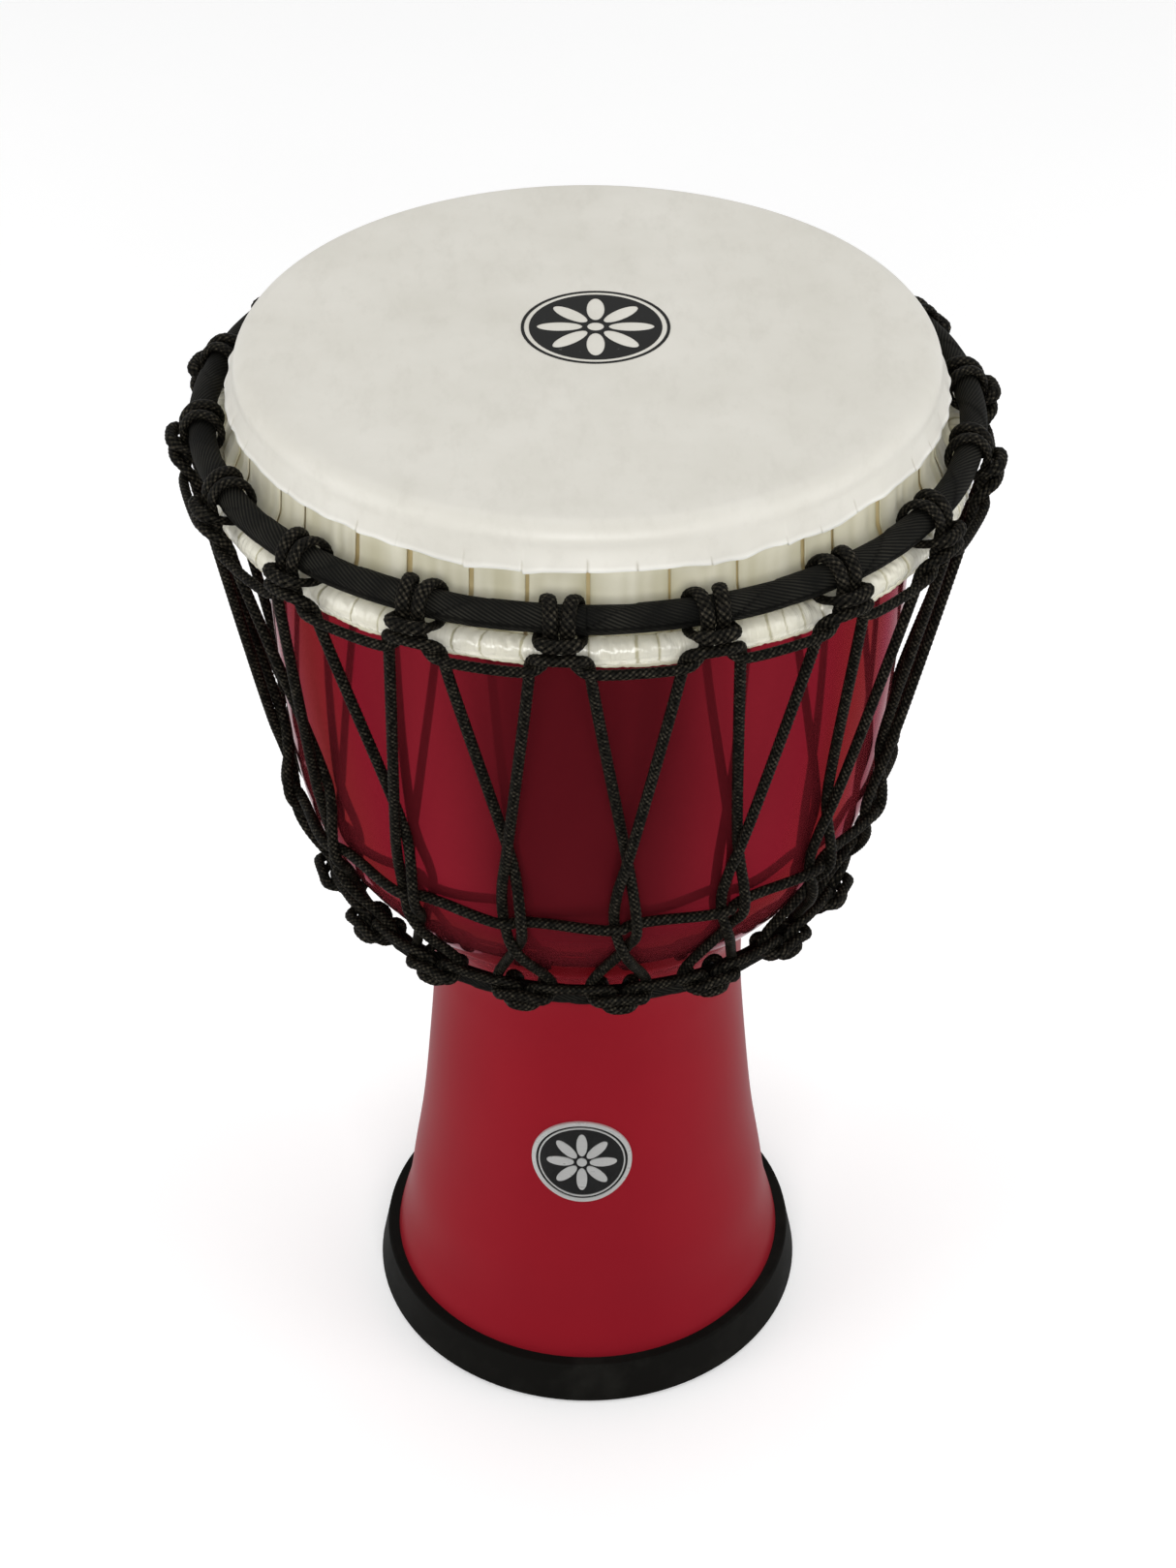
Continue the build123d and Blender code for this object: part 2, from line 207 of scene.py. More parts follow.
def ripple(seed, lowest, highest, terms=12):
    """A smooth random function of the angle round the drum, between about -1 and 1."""
    rng = np.random.default_rng(seed)
    waves = rng.integers(lowest, highest + 1, terms)
    phases = rng.uniform(0, FULL_TURN, terms)
    weights = rng.uniform(0.5, 1.0, terms)

    def value(angle):
        total = sum(w * np.cos(k * angle + p) for w, k, p in zip(weights, waves, phases))
        return total / weights.sum() * 1.8
    return value


def add_modifier(obj, kind, **settings):
    modifier = obj.modifiers.new(kind.title(), kind)
    for key, value in settings.items():
        setattr(modifier, key, value)
    return modifier


def finish_piece(obj, material, replaced=()):
    """Gives a piece its material and puts it on the drum's one body."""
    obj.data.materials.clear()
    obj.data.materials.append(material)
    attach(obj, "root")
    if replaced:
        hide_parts(*replaced)
    return obj


# ======================================================================================
# materials
# ======================================================================================

class Nodes:
    """Short way to build a node tree round one Principled shader."""

    def __init__(self, name, **sockets):
        self.material = bpy.data.materials.new(name)
        self.material.use_nodes = True
        self.tree = self.material.node_tree
        self.shader = self.tree.nodes["Principled BSDF"]
        for key, value in sockets.items():
            self.shader.inputs[key.replace("_", " ")].default_value = value

    def add(self, kind, inputs=None, **settings):
        node = self.tree.nodes.new(kind)
        for key, value in settings.items():
            setattr(node, key, value)
        for key, value in (inputs or {}).items():
            self.put(value, node.inputs[key])
        return node

    def put(self, value, socket):
        if isinstance(value, bpy.types.NodeSocket):
            self.tree.links.new(value, socket)
        else:
            socket.default_value = value

    def set(self, key, value):
        self.put(value, self.shader.inputs[key])

    def place(self, scale=(1, 1, 1), source="Object"):
        coordinates = self.add("ShaderNodeTexCoord").outputs[source]
        return self.add("ShaderNodeMapping", {"Vector": coordinates, "Scale": scale}).outputs[0]

    def noise(self, scale, detail=3.0, roughness=0.5, vector=None):
        vector = vector or self.place()
        inputs = {"Vector": vector, "Scale": scale, "Detail": detail, "Roughness": roughness}
        return self.add("ShaderNodeTexNoise", inputs).outputs["Fac"]

    def spread(self, value, low, high, to_low=0.0, to_high=1.0):
        inputs = {"Value": value, "From Min": low, "From Max": high, "To Min": to_low, "To Max": to_high}
        return self.add("ShaderNodeMapRange", inputs, clamp=True).outputs["Result"]

    def mix(self, factor, a, b, blend="MIX"):
        node = self.add("ShaderNodeMix", data_type="RGBA", blend_type=blend)
        self.put(factor, node.inputs[0])
        self.put(a, node.inputs[6])
        self.put(b, node.inputs[7])
        return node.outputs[2]

    def maths(self, operation, *values):
        node = self.add("ShaderNodeMath", operation=operation)
        for value, socket in zip(values, node.inputs):
            self.put(value, socket)
        return node.outputs[0]

    def value(self, name):
        return self.add("ShaderNodeAttribute", attribute_name=name).outputs["Fac"]

    def bump(self, height, distance, strength=1.0, normal=None):
        inputs = {"Height": height, "Distance": distance * MM, "Strength": strength}
        node = self.add("ShaderNodeBump", inputs)
        if normal:
            self.put(normal, node.inputs["Normal"])
        return node.outputs["Normal"]


def colour(red, green, blue):
    return (red, green, blue, 1.0)


def shell_material(name):
    """Deep red lacquer: satin up to the neck, and above it a finish that mirrors in its own red."""
    n = Nodes(name, Specular_IOR_Level=0.05, Specular_Tint=colour(0.66, 0.33, 0.40),
              Sheen_Weight=SHELL_SHEEN, Sheen_Roughness=0.9)
    height = n.add("ShaderNodeSeparateXYZ", {"Vector": n.place()}).outputs[2]
    gloss = n.spread(height, NECK_HEIGHT * MM, (NECK_HEIGHT + GLOSS_FADE) * MM)
    swirl = n.spread(n.noise(14.0, 4.0, 0.55), 0.35, 0.7)
    satin = n.mix(swirl, colour(0.235, 0.007, 0.014), colour(0.212, 0.006, 0.013))
    mirror = n.mix(swirl, colour(0.232, 0.010, 0.020), colour(0.212, 0.009, 0.018))
    n.set("Base Color", n.mix(gloss, satin, mirror))
    n.set("Metallic", n.spread(gloss, 0, 1, SATIN_METALLIC, GLOSS_METALLIC))
    scuff = n.spread(n.noise(60.0, 3.0, 0.5, n.place((1, 1, 0.25))), 0.45, 0.75, 0.0, 0.02)
    n.set("Roughness", n.maths("ADD", scuff, n.spread(gloss, 0, 1, SATIN_ROUGHNESS, GLOSS_ROUGHNESS)))
    return n.material


def head_material():
    """Fibrous white film: cloudy patches, short pale fibres and a painted highlight along the cut edge."""
    n = Nodes("head_film", Roughness=0.42, IOR=1.5)
    cloud = n.noise(28.0, 5.0, 0.6)
    fibre = n.noise(160.0, 6.0, 0.7, n.place((1, 0.45, 1)))
    base = n.mix(n.spread(cloud, 0.3, 0.7), colour(0.60, 0.58, 0.515), colour(0.67, 0.65, 0.59))
    base = n.mix(n.maths("MULTIPLY", n.spread(fibre, 0.5, 0.72), 0.35), base, colour(0.53, 0.51, 0.45))
    # painted highlight: paler colour along the cut edge
    base = n.mix(n.value("edge"), base, colour(0.88, 0.87, 0.82))
    # painted shade: darker where a slit opens
    base = n.mix(n.value("slit"), base, colour(0.45, 0.42, 0.34))
    n.set("Base Color", base)
    n.set("Roughness", n.spread(fibre, 0.3, 0.7, 0.34, 0.5))
    n.set("Normal", n.bump(fibre, 0.03, 0.5, n.bump(n.noise(45.0, 3.0), 0.12, 0.35)))
    return n.material


def collar_material():
    """Ivory film with soft pleats: painted shade in the fold valleys and beside the gaps, slightly shiny."""
    n = Nodes("collar_film", Roughness=0.3, IOR=1.5)
    painted_shade = n.value("painted_shade")
    cloud = n.noise(60.0, 4.0, 0.6)
    base = n.mix(n.spread(cloud, 0.3, 0.7), colour(0.86, 0.83, 0.68), colour(0.77, 0.73, 0.56))
    # painted shade: darker and warmer in the fold valleys and beside the gaps
    base = n.mix(painted_shade, base, colour(0.56, 0.52, 0.33))
    n.set("Base Color", base)
    n.set("Normal", n.bump(n.noise(90.0, 4.0, 0.6, n.place((1, 1, 0.2))), 0.15, 0.4))
    return n.material


def glue_material():
    """Aged film and glue seen between the collar's panels."""
    n = Nodes("collar_glue", Roughness=0.4)
    n.set("Base Color", n.mix(n.noise(150.0, 4.0), colour(0.50, 0.36, 0.13), colour(0.66, 0.56, 0.33)))
    n.set("Normal", n.bump(n.noise(400.0, 4.0), 0.1, 0.5))
    return n.material


def wrap_material():
    """Glossy white film wound round the flesh hoop, with painted shade at the laps and a yellowed torn edge.
    """
    n = Nodes("hoop_film", Roughness=0.16, IOR=1.5, Coat_Weight=0.5, Coat_Roughness=0.06)
    cloud = n.noise(70.0, 4.0, 0.6)
    base = n.mix(n.spread(cloud, 0.3, 0.7), colour(0.88, 0.855, 0.74), colour(0.80, 0.77, 0.63))
    # painted shade in the step at each lap; on the torn edge the same mix is yellowing
    base = n.mix(n.value("crease"), base, colour(0.50, 0.46, 0.30))
    n.set("Base Color", base)
    fold = n.noise(0.55, 3.0, 0.6, n.place((1, 0.14, 1), "UV"))
    n.set("Normal", n.bump(fold, 0.9, 0.7, n.bump(n.noise(260.0, 3.0), 0.25, 0.45)))
    return n.material


def tape_material():
    """Black cotton tape: twill ribs on the slant, painted shade at the bound edge of each turn, and lint."""
    n = Nodes("ring_tape", Roughness=0.7, Specular_IOR_Level=0.06)
    uv = n.add("ShaderNodeTexCoord").outputs["UV"]
    parts = n.add("ShaderNodeSeparateXYZ", {"Vector": uv})
    uneven = n.maths("MULTIPLY", n.noise(60.0, 3.0), 1.2)
    slant = n.maths("MULTIPLY_ADD", parts.outputs[1], 1.1, uneven)
    slant = n.maths("MULTIPLY_ADD", parts.outputs[0], 0.52, slant)
    rib = n.maths("SINE", n.maths("MULTIPLY", slant, FULL_TURN))
    patch = n.noise(110.0, 3.0, 0.5)
    lint = n.noise(700.0, 4.0, 0.7)
    pale = n.mix(n.spread(patch, 0.35, 0.65), colour(0.007, 0.0068, 0.0055), colour(0.023, 0.0218, 0.017))
    base = n.mix(n.spread(rib, -0.6, 1.0), colour(0.0035, 0.0035, 0.0030), pale)
    # painted shade in the step where each turn laps over the last
    base = n.mix(n.value("lap_shade"), base, colour(0.0008, 0.0008, 0.0007))
    base = n.mix(n.spread(lint, 0.66, 0.78, 0.0, 0.5), base, colour(0.05, 0.047, 0.038))
    n.set("Base Color", base)
    n.set("Normal", n.bump(rib, 0.07, 0.8, n.bump(n.noise(90.0, 3.0), 0.3, 0.5)))
    return n.material


def rope_material():
    """Black polyester braid: painted shade in the hollows, patchy painted highlights on the strands' crowns.
    """
    n = Nodes("rope_black", Roughness=0.55, Specular_IOR_Level=0.04)
    yarn = n.noise(2600.0, 3.0, 0.6)
    worn = n.noise(900.0, 2.0, 0.5)
    # painted shade: near black in the braid's hollows, lighter on the crowns
    crown = n.spread(n.value("relief"), 0.45, 0.98)
    base = n.mix(crown, colour(0.0006, 0.0006, 0.0005), colour(0.0125, 0.0112, 0.0082))
    # painted highlight on the crowns of the strands, broken into patches by noise
    crown_highlight = n.maths("MULTIPLY", n.maths("MULTIPLY", crown, crown), n.spread(worn, 0.44, 0.62))
    base = n.mix(crown_highlight, base, colour(0.085, 0.074, 0.053))
    n.set("Base Color", n.mix(n.spread(yarn, 0.3, 0.6, 0.55, 0.0), base, colour(0.001, 0.001, 0.0008)))
    n.set("Roughness", n.spread(yarn, 0.3, 0.7, 0.42, 0.6))
    n.set("Normal", n.bump(yarn, 0.06, 0.6))
    return n.material


def twine_material():
    n = Nodes("whipping_twine", Roughness=0.35, Specular_IOR_Level=0.3)
    n.set("Base Color", n.mix(n.noise(900.0, 3.0), colour(0.006, 0.006, 0.006), colour(0.02, 0.019, 0.017)))
    n.set("Normal", n.bump(n.noise(3000.0, 2.0), 0.03, 0.5))
    return n.material


def rubber_material():
    """Smooth black rubber with dust in the moulding grain and paler rubbed patches."""
    n = Nodes("foot_rubber", Roughness=0.6, Specular_IOR_Level=0.03, Specular_Tint=colour(0.4, 0.4, 0.38))
    dust = n.noise(55.0, 5.0, 0.65)
    base = n.mix(n.spread(dust, 0.5, 0.8), colour(0.0065, 0.0062, 0.0055), colour(0.013, 0.0126, 0.011))
    n.set("Base Color", base)
    n.set("Roughness", n.spread(dust, 0.35, 0.75, 0.5, 0.7))
    n.set("Normal", n.bump(n.noise(700.0, 3.0), 0.03, 0.35))
    return n.material


def ink_material():
    n = Nodes("print_ink", Roughness=0.5, Specular_IOR_Level=0.12)
    speck = n.noise(700.0, 4.0, 0.7)
    black, worn = colour(0.006, 0.006, 0.0055), colour(0.07, 0.068, 0.063)
    n.set("Base Color", n.mix(n.spread(speck, 0.66, 0.72), black, worn))
    n.set("Normal", n.bump(n.noise(160.0, 5.0), 0.03, 0.4))
    return n.material


def metal_material():
    n = Nodes("badge_metal", Metallic=0.5, Roughness=0.3)
    brushed = n.noise(900.0, 3.0, 0.6, n.place((0.15, 1, 1)))
    n.set("Base Color", n.mix(brushed, colour(0.72, 0.72, 0.70), colour(0.58, 0.58, 0.57)))
    n.set("Roughness", n.spread(brushed, 0.3, 0.7, 0.26, 0.38))
    n.set("Normal", n.bump(brushed, 0.01, 0.4))
    return n.material


def enamel_material():
    n = Nodes("badge_enamel", Roughness=0.22, Coat_Weight=0.6, Coat_Roughness=0.08)
    n.set("Base Color", n.mix(n.noise(200.0, 4.0), colour(0.010, 0.010, 0.010), colour(0.018, 0.018, 0.018)))
    n.set("Normal", n.bump(n.noise(350.0, 2.0), 0.04, 0.2))
    return n.material


def steel_material():
    n = Nodes("ring_steel", Metallic=1.0, Roughness=0.35)
    n.set("Base Color", n.mix(n.noise(300.0, 4.0), colour(0.42, 0.42, 0.43), colour(0.5, 0.5, 0.5)))
    return n.material


# ======================================================================================
# shell
# ======================================================================================

def smooth_curve(points, first, last, per_span=10):
    """Cubic spline through the points that leaves and arrives in the given directions."""
    points = np.array(points, dtype=float)
    spans = np.linalg.norm(np.diff(points, axis=0), axis=1)
    count = len(points)
    matrix = np.zeros((count, count))
    right = np.zeros((count, 2))
    matrix[0, 0] = matrix[-1, -1] = 1.0
    right[0] = np.array(first) / np.linalg.norm(first)
    right[-1] = np.array(last) / np.linalg.norm(last)
    for k in range(1, count - 1):
        before, after = spans[k - 1], spans[k]
        matrix[k, k - 1:k + 2] = after, 2 * (before + after), before
        arriving = (points[k] - points[k - 1]) / before
        leaving = (points[k + 1] - points[k]) / after
        right[k] = 3 * (after * arriving + before * leaving)
    slopes = np.linalg.solve(matrix, right)
    curve = []
    for k, span in enumerate(spans):
        t = np.linspace(0, 1, per_span, endpoint=False)[:, None]
        curve.append((1 + 2 * t) * (1 - t) ** 2 * points[k] + t * (1 - t) ** 2 * span * slopes[k]
                     + t ** 2 * (3 - 2 * t) * points[k + 1] + t ** 2 * (t - 1) * span * slopes[k + 1])
    return np.vstack([*curve, points[-1:]])


def inward(curve, distance):
    """The curve moved square to itself, towards the axis."""
    along = np.gradient(curve, axis=0)
    along /= np.linalg.norm(along, axis=1, keepdims=True)
    return curve + distance * np.stack([-along[:, 1], along[:, 0]], axis=1)


def turned_solid(name, outline, material, node, columns=448):
    """Solid of revolution round Z from a closed outline of (radius, height), with crisp corners."""
    outline = np.array(outline)
    angle = np.arange(columns) / columns * FULL_TURN
    points = np.array([ring_point(angle, np.full(columns, radius), height) for radius, height in outline])
    faces = grid_faces(len(outline), columns, wrap_rows=True, wrap_columns=True)[:, ::-1]
    solid = new_object(name, points.reshape(-1, 3), faces)
    solid.data.set_sharp_from_angle(angle=math.radians(35))
    return finish_piece(solid, material, [node])


def bowl(material):
    outside = smooth_curve(BOWL_CURVE, (0, 1), (0, 1))
    turn = np.linspace(0, math.pi / 2, 8)[1:]
    edge = np.stack([EDGE_CREST[0] + EDGE_ROUND * np.cos(turn),
                     EDGE_CREST[1] + EDGE_ROUND * (np.sin(turn) - 1)], axis=1)
    inside = inward(outside, WALL)
    inside = inside[(inside[:, 1] > SPLIT_HEIGHT + SPIGOT_HEIGHT) & (inside[:, 1] < EDGE_INSIDE[1] - 8)]
    neck = outside[0, 0] - WALL / 2
    bottom = [(neck, SPLIT_HEIGHT + SPIGOT_HEIGHT), (neck, SPLIT_HEIGHT)]
    bevel = (EDGE_INSIDE[0], EDGE_CREST[1] - EDGE_BEVEL)
    outline = [*outside, *edge, bevel, EDGE_INSIDE, *inside[::-1], *bottom]
    turned_solid("bowl_body", outline, material, "bowl_shell")


def stem(material):
    foot_lean = (FOOT_BAND[1][0] - FOOT_BAND[0][0], FOOT_BAND[1][1] - FOOT_BAND[0][1])
    outside = smooth_curve(STEM_CURVE, foot_lean, (0, 1))
    inside = inward(outside, WALL)
    spigot = outside[-1, 0] - WALL / 2 - SPIGOT_PLAY
    top = [(spigot, SPLIT_HEIGHT), (spigot, SPLIT_HEIGHT + SPIGOT_HEIGHT),
           (inside[-1, 0], SPLIT_HEIGHT + SPIGOT_HEIGHT)]
    outline = [FOOT_BAND[0], *outside, *top, *inside[::-1], (FOOT_BAND[0][0] - WALL, FOOT_BAND[0][1])]
    turned_solid("stem_body", outline, material, "stem_shell")


# ======================================================================================
# head, collar and hoop wrap
# ======================================================================================

def snip_places(seed, nearest, furthest):
    """Irregular angles all the way round, between two distances in millimetres apart at the rim."""
    rng = np.random.default_rng(seed)
    places = []
    angle = 0.0
    while angle < FULL_TURN - nearest / HEAD_CUT[0]:
        places.append(angle)
        angle += rng.uniform(nearest, furthest) / HEAD_CUT[0]
    return np.array(places)


def playing_head(material):
    """Film over the bearing edge: flat top, rounded shoulder and a flared skirt with a hand-cut edge."""
    columns = 1440
    angle = np.arange(columns) / columns * FULL_TURN
    corners = snip_places(12, *HEAD_CORNERS)
    heights = np.random.default_rng(13).uniform(-0.6, 0.6, len(corners))
    cut = HEAD_CUT[1] + np.interp(angle, corners, heights, period=FULL_TURN)
    slit = np.zeros(columns)
    slit_top = np.zeros(columns)
    rng = np.random.default_rng(14)
    for place in snip_places(11, *HEAD_SLITS):
        column = int(round(place / FULL_TURN * columns)) % columns
        slit[column] = rng.uniform(0.2, 0.9)
        slit_top[column] = rng.uniform(0.25, 0.85)
        side = (angle - place + FULL_TURN) % FULL_TURN
        cut += np.where(side < 0.05, rng.uniform(-0.7, 0.4) * (1 - side / 0.05), 0)
    lift = 0.4 * ripple(15, 20, 70)(angle)
    rows = [(EDGE_CENTRE[0] * step / 14, EDGE_CENTRE[1] + HEAD_ROUND) for step in range(1, 15)]
    for step in range(1, 9):
        turn = math.pi / 2 * step / 8
        out, up = HEAD_ROUND * math.sin(turn), HEAD_ROUND * math.cos(turn)
        rows.append((EDGE_CENTRE[0] + out, EDGE_CENTRE[1] + up))
    points = [ring_point(angle, np.full(columns, r), z) for r, z in rows]
    edge_highlight_values = [np.zeros(columns) for _ in rows]
    slit_shade_values = [np.zeros(columns) for _ in rows]
    shoulder = EDGE_CENTRE[0] + HEAD_ROUND
    skirt_steps = 9
    for step in range(1, skirt_steps + 1):
        share = step / skirt_steps
        open_here = slit * np.clip((share - slit_top) * 6, 0, 1)
        radius = shoulder + (HEAD_CUT[0] - shoulder) * share ** 1.3 + lift * share ** 2 - 0.3 * open_here
        height = EDGE_CENTRE[1] + (cut - EDGE_CENTRE[1]) * share
        points.append(ring_point(angle, radius, height))
        # the last two rows carry the painted highlight of the cut edge
        edge_highlight_values.append(np.full(columns, {skirt_steps: 1.0, skirt_steps - 1: 0.3}.get(step, 0.0)))
        # open_here also sets the painted shade of each slit
        slit_shade_values.append(open_here)
    grid = np.array(points)
    all_points = np.concatenate([grid.reshape(-1, 3), [[0.0, 0.0, EDGE_CENTRE[1] + HEAD_ROUND]]])
    hub = [[len(all_points) - 1, c, (c + 1) % columns] for c in range(columns)]
    values = {"edge": np.append(edge_highlight_values, 0.0), "slit": np.append(slit_shade_values, 0.0)}
    faces = grid_faces(len(grid), columns, wrap_columns=True).tolist()
    head = new_object("playing_head_film", all_points, [*faces, *hub], values=values)
    add_modifier(head, "SOLIDIFY", thickness=FILM * MM, offset=-1.0)
    finish_piece(head, material, ["playing_head"])


def collar_radius(height):
    """Outside of the collar, from the head's shoulder to where it tucks in behind the flesh hoop."""
    behind = FLESH_HOOP[0] - HOOP_WRAP - 0.15
    touch = (FLESH_HOOP[0] - 2.6, FLESH_HOOP[1] + 2.6)
    heights = [FLESH_HOOP[1], touch[1], COLLAR_WAIST[1], EDGE_CENTRE[1]]
    radii = [behind, touch[0], COLLAR_WAIST[0], EDGE_CENTRE[0] + COLLAR_ROUND]
    return np.interp(height, heights, radii)


def head_collar(material, glue):
    """Pleated film in panels, with an older layer showing in the gaps between them."""
    columns = 1800
    rows = 26
    angle = np.arange(columns) / columns * FULL_TURN
    slits = snip_places(21, *COLLAR_SLITS)
    gaps = np.random.default_rng(22).uniform(*COLLAR_GAPS, len(slits))
    folds = ripple(23, 25, 70, 16)(angle) + 0.5 * ripple(24, 80, 200, 16)(angle)
    distance = np.full(columns, 99.0)
    gap_here = np.zeros(columns)
    for place, gap in zip(slits, gaps):
        away = np.abs((angle - place + math.pi) % FULL_TURN - math.pi) * COLLAR_WAIST[0]
        gap_here = np.where(away < distance, gap, gap_here)
        distance = np.minimum(distance, away)
    open_columns = distance < gap_here / 2
    curl = np.exp(-(distance / 2.0) ** 2)
    heights = np.linspace(EDGE_CENTRE[1], FLESH_HOOP[1], rows)
    points, painted_shades = [], []
    for height in heights:
        drop = (EDGE_CENTRE[1] - height) / (EDGE_CENTRE[1] - heights[-1])
        loose = drop ** 0.7 * (1 - drop ** 6)
        lift = loose * (FOLD_HEIGHT * folds + CURL_HEIGHT * curl) - COLLAR_TUCK
        radius = collar_radius(height) + np.maximum(lift, -DEEPEST_FOLD)
        points.append(ring_point(angle, radius, height))
        # painted shade: deeper in the fold valleys and lower down, and beside each gap between panels
        shade = np.clip(0.4 - folds * 0.7, 0, 1) * (0.3 + 0.6 * drop)
        painted_shades.append(np.clip(shade + 0.3 * np.exp(-(distance / 1.6) ** 2), 0, 0.8))
    faces = grid_faces(rows, columns, wrap_columns=True)
    closed = ~open_columns[faces[:, 0] % columns]
    collar = new_object("head_collar_film", np.array(points).reshape(-1, 3), faces[closed],
                        values={"painted_shade": np.array(painted_shades).ravel()})
    add_modifier(collar, "SOLIDIFY", thickness=COLLAR_FILM * MM, offset=-1.0)
    finish_piece(collar, material, ["head_collar"])
    under_angle = np.arange(720) / 720 * FULL_TURN
    uneven = ripple(25, 60, 160)(under_angle)
    under = [ring_point(under_angle, collar_radius(height) - UNDERLAY_DEPTH + 0.1 * uneven, height)
             for height in heights[::3]]
    layer = new_object("head_collar_underlay", np.array(under).reshape(-1, 3),
                       grid_faces(len(under), 720, wrap_columns=True))
    add_modifier(layer, "SOLIDIFY", thickness=UNDERLAY_FILM * MM, offset=-1.0)
    finish_piece(layer, glue)


def torus_points(ring, section, columns, around, shape):
    """Ring of points round a torus. shape(angle, turn) gives the offset from the section radius."""
    angle = np.arange(columns) / columns * FULL_TURN
    turn = np.arange(around) / around * FULL_TURN
    a, t = np.meshgrid(angle, turn, indexing="ij")
    radius = section + shape(a, t)
    points = ring_point(a, ring[0] + radius * np.cos(t), ring[1] + radius * np.sin(t))
    length = a * ring[0]
    width = t * section
    return points.reshape(-1, 3), np.stack([length, width], axis=-1).reshape(-1, 2), a, t


def hoop_wrap(material):
    """Film wound on the slant round the hoop: each turn overlaps the last, with a ragged edge below."""
    columns, around = 2400, 26
    steps = snip_places(31, *WRAP_LAPS)
    rng = np.random.default_rng(32)
    leans = rng.uniform(-0.5, 0.9, len(steps))
    depths = rng.uniform(*WRAP_DEPTHS, len(steps))
    lumps = ripple(33, 90, 260, 24)

    def turns(a, t):
        lean = np.interp(a, steps, leans, period=FULL_TURN)
        place = (a + lean * 0.02 * np.cos(t - 0.6)) % FULL_TURN
        index = np.searchsorted(steps, place, side="right") - 1
        start = steps[index]
        following = np.append(steps[1:], FULL_TURN)[index]
        share = (place - start) / (following - start)
        return depths[index], share, place

    def shape(a, t):
        depth, share, place = turns(a, t)
        return -depth * share + WRAP_LUMPS * lumps(place + 0.05 * np.sin(t)) - 0.05

    points, uv, a, t = torus_points(FLESH_HOOP, HOOP_WRAP, columns, around, shape)
    _, share, _ = turns(a, t)
    # painted shade in the step where each turn of film meets the next
    crease = np.where(share > 0.93, 0.9, 0.0) + np.where(share < 0.03, 0.2, 0.0)
    wrap = new_object("hoop_wrap_film", points, grid_faces(columns, around, True, True), uv,
                      {"crease": np.clip(crease, 0, 1)})
    finish_piece(wrap, material, ["hoop_wrap"])
    hoop_edge(material)


def hoop_edge(material):
    """Torn lower edge of the wound film, hanging a little under the hoop."""
    columns = 1800
    angle = np.arange(columns) / columns * FULL_TURN
    corners = snip_places(34, *TORN_CORNERS)
    drops = np.random.default_rng(35).uniform(*TORN_DROPS, len(corners))
    drop = np.interp(angle, corners, drops, period=FULL_TURN) + 0.15 * ripple(36, 150, 400)(angle)
    flare = 0.25 * ripple(37, 30, 120)(angle)
    radius = FLESH_HOOP[0] + HOOP_WRAP * 0.52
    top = FLESH_HOOP[1] - HOOP_WRAP * 0.70
    shares = np.array([0.0, 0.35, 0.7, 1.0])
    rows = [ring_point(angle, radius + (0.35 + flare) * share, top - drop * share) for share in shares]
    yellowing = np.repeat(shares * 0.8, columns)
    edge = new_object("hoop_wrap_torn_edge", np.array(rows).reshape(-1, 3),
                      grid_faces(len(rows), columns, wrap_columns=True), values={"crease": yellowing})
    add_modifier(edge, "SOLIDIFY", thickness=TORN_FILM * MM, offset=0.0)
    finish_piece(edge, material)


def tape_ring(name, ring, section, lap, seed, material, replaced):
    """Cloth tape wound in a spiral, each turn stepping up over the edge of the one before."""
    columns, around = 1440, 28
    turns = round(FULL_TURN * ring[0] / lap)
    lumps = ripple(seed, 20, 90)

    def lap_share(a, t):
        return (a / FULL_TURN * turns - t / FULL_TURN) % 1.0

    def shape(a, t):
        place = lap_share(a, t)
        step = TAPE_STEP * np.clip(place * 40, 0, 1) * np.clip((1 - place) * 1.3, 0, 1)
        return -0.26 + step + 0.05 * lumps(a)

    points, uv, a, t = torus_points(ring, section, columns, around, shape)
    # painted shade mask at the step of each lap
    lap_shade = np.clip(1 - lap_share(a, t) * 36, 0, 1)
    tape = new_object(name, points, grid_faces(columns, around, True, True), uv, {"lap_shade": lap_shade})
    finish_piece(tape, material, [replaced])


# ======================================================================================
# ropes
# ======================================================================================

def corner_loop(unit, first_knot):
    """Corners of one rope at every knot, as points. unit holds (column angle, along, radius, height)."""
    slip = ripple(41, 3, 14)
    corners = []
    for knot in range(KNOTS):
        for column, along, radius, height in unit:
            angle = first_knot + PITCH * knot + column
            angle += (along + KNOT_SLIP * slip(angle)) / radius
            corners.append(ring_point(np.float64(angle), radius, height))
    return np.array(corners)


def smooth_loop(corners, step):
    """Even points on the closed quadratic spline that has these control points."""
    before = (corners + np.roll(corners, 1, axis=0)) / 2
    after = (corners + np.roll(corners, -1, axis=0)) / 2
    share = np.linspace(0, 1, 24, endpoint=False)[:, None, None]
    fine = (1 - share) ** 2 * before + 2 * share * (1 - share) * corners + share ** 2 * after
    fine = fine.transpose(1, 0, 2).reshape(-1, 3)
    closed = np.vstack([fine, fine[:1]])
    length = np.concatenate([[0], np.cumsum(np.linalg.norm(np.diff(closed, axis=0), axis=1))])
    count = int(round(length[-1] / step / CELL_STEPS / 2)) * CELL_STEPS * 2
    places = np.arange(count) / count * length[-1]
    return np.stack([np.interp(places, length, closed[:, axis]) for axis in range(3)], axis=1)


